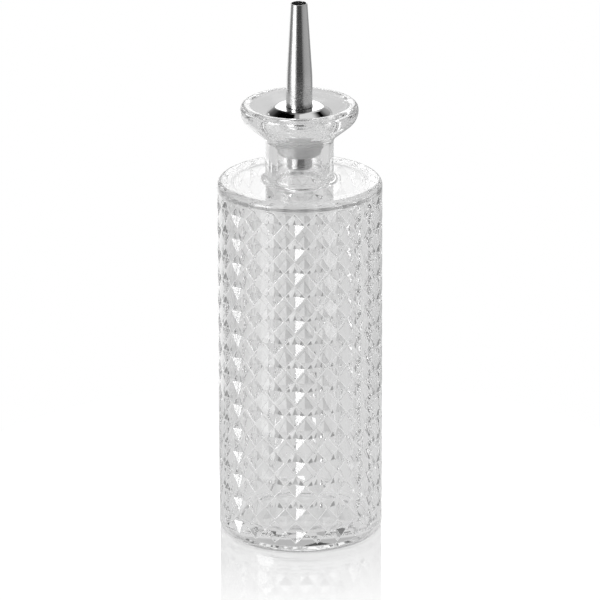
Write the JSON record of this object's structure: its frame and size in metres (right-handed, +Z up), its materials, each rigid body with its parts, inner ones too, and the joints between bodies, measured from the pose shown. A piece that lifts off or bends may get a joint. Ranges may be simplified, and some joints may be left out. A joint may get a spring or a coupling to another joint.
{
  "type": "bitters bottle",
  "caption": "Clear pressed glass bottle with a diamond relief, a flared lip and a steel dash pourer plugged into its neck by a soft stopper.",
  "frame": {"origin": "centre of the base, on the surface that the bottle stands on", "axes": "+Z up along the bottle's axis, towards the spout's tip; one column of the relief faces -Y"},
  "size_m": [0.064, 0.064, 0.2144],
  "materials": {
    "clear_glass": "pressed soda-lime glass, fire polished, clear and colourless",
    "soft_stopper": "moulded translucent silicone, satin",
    "polished_steel": "pressed stainless steel sheet, mirror polished",
    "brushed_steel": "drawn stainless steel tube, finely brushed round its axis"
  },
  "bodies": {
    "bottle": {"glass_bottle": "clear_glass"},
    "plug": {"stopper": "soft_stopper"},
    "pourer": {"dome_cap": "polished_steel", "spout": "brushed_steel", "dash_cup": "brushed_steel"}
  },
  "joints": [
    {"name": "stopper_lift", "type": "slide", "parent": "bottle", "child": "plug", "axis": [0, 0, 1], "range_m": [0, 0.03]},
    {"name": "pourer_turn", "type": "hinge", "parent": "plug", "child": "pourer", "pos_m": [0, 0, 0.165], "axis": [0, 0, 1], "continuous": true}
  ]
}
